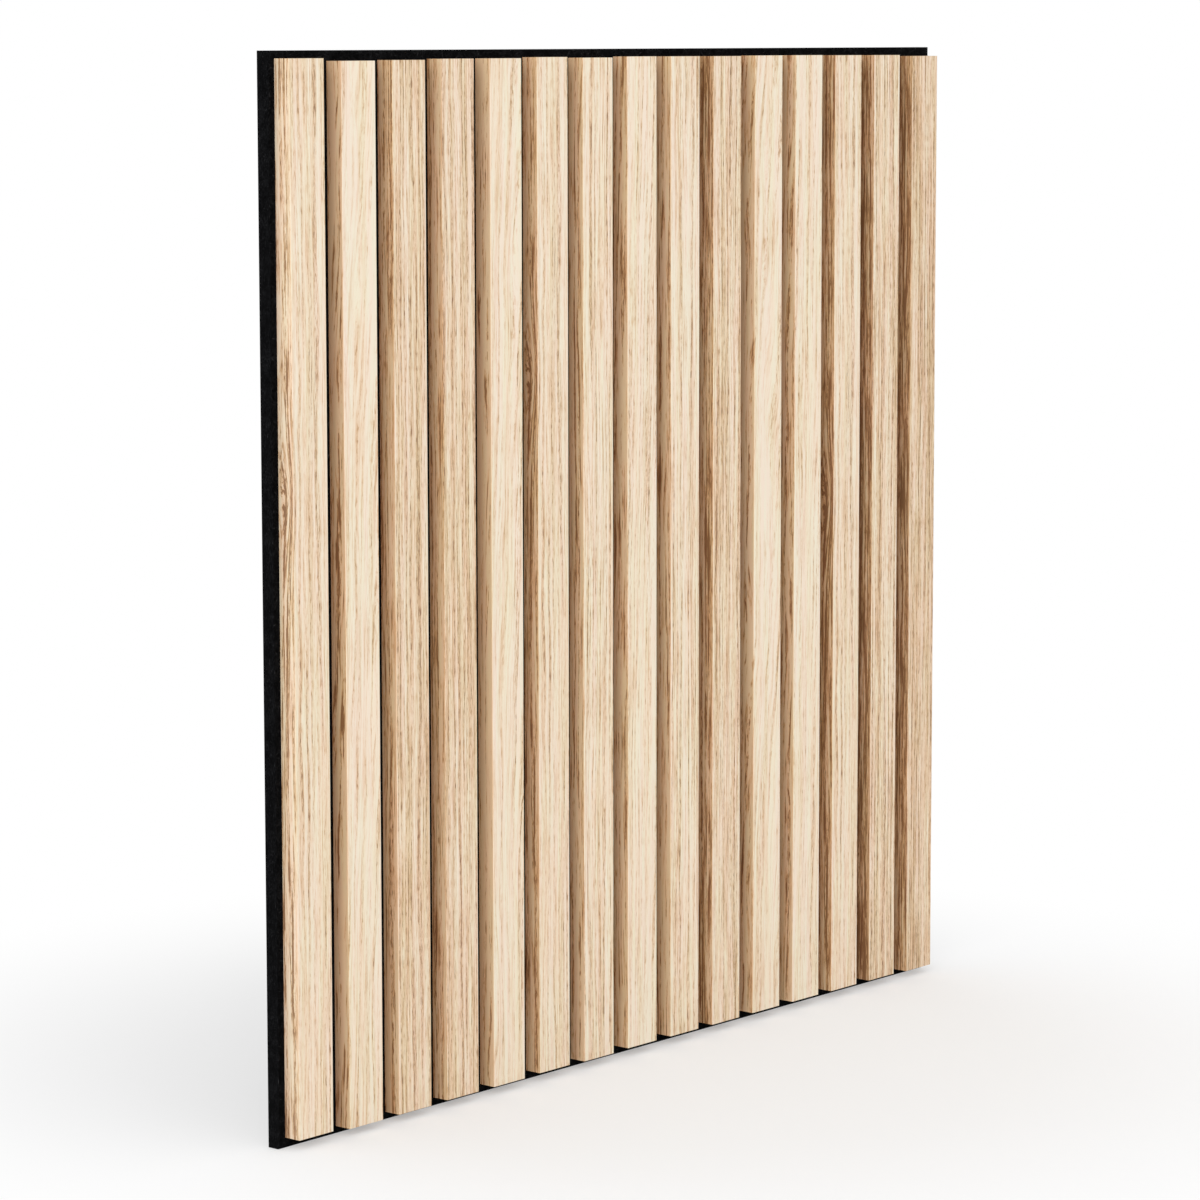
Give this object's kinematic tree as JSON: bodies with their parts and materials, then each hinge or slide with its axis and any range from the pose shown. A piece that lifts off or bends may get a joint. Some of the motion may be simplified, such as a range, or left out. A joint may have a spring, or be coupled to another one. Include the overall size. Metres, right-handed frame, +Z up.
{
  "type": "slatted acoustic wall panel",
  "caption": "Square wall panel of upright oak-veneered slats with even gaps, stapled onto a black felt board that goes flat against the wall and soaks up sound.",
  "frame": {"origin": "middle of the felt's flat back face, which goes against the wall", "axes": "+Z up along the slats, +Y out of the back into the wall, +X to the right as seen from the front"},
  "size_m": [0.6, 0.019, 0.6],
  "materials": {
    "oak_veneer": "matt clear lacquer",
    "felt": "pressed felt",
    "staple_wire": "galvanised"
  },
  "bodies": {
    "root": {"felt_backing": "felt", "slat_01": "oak_veneer", "slat_02": "oak_veneer", "slat_03": "oak_veneer", "slat_04": "oak_veneer", "slat_05": "oak_veneer", "slat_06": "oak_veneer", "slat_07": "oak_veneer", "slat_08": "oak_veneer", "slat_09": "oak_veneer", "slat_10": "oak_veneer", "slat_11": "oak_veneer", "slat_12": "oak_veneer", "slat_13": "oak_veneer", "slat_14": "oak_veneer", "slat_15": "oak_veneer", "back_staples": "staple_wire"}
  },
  "joints": []
}
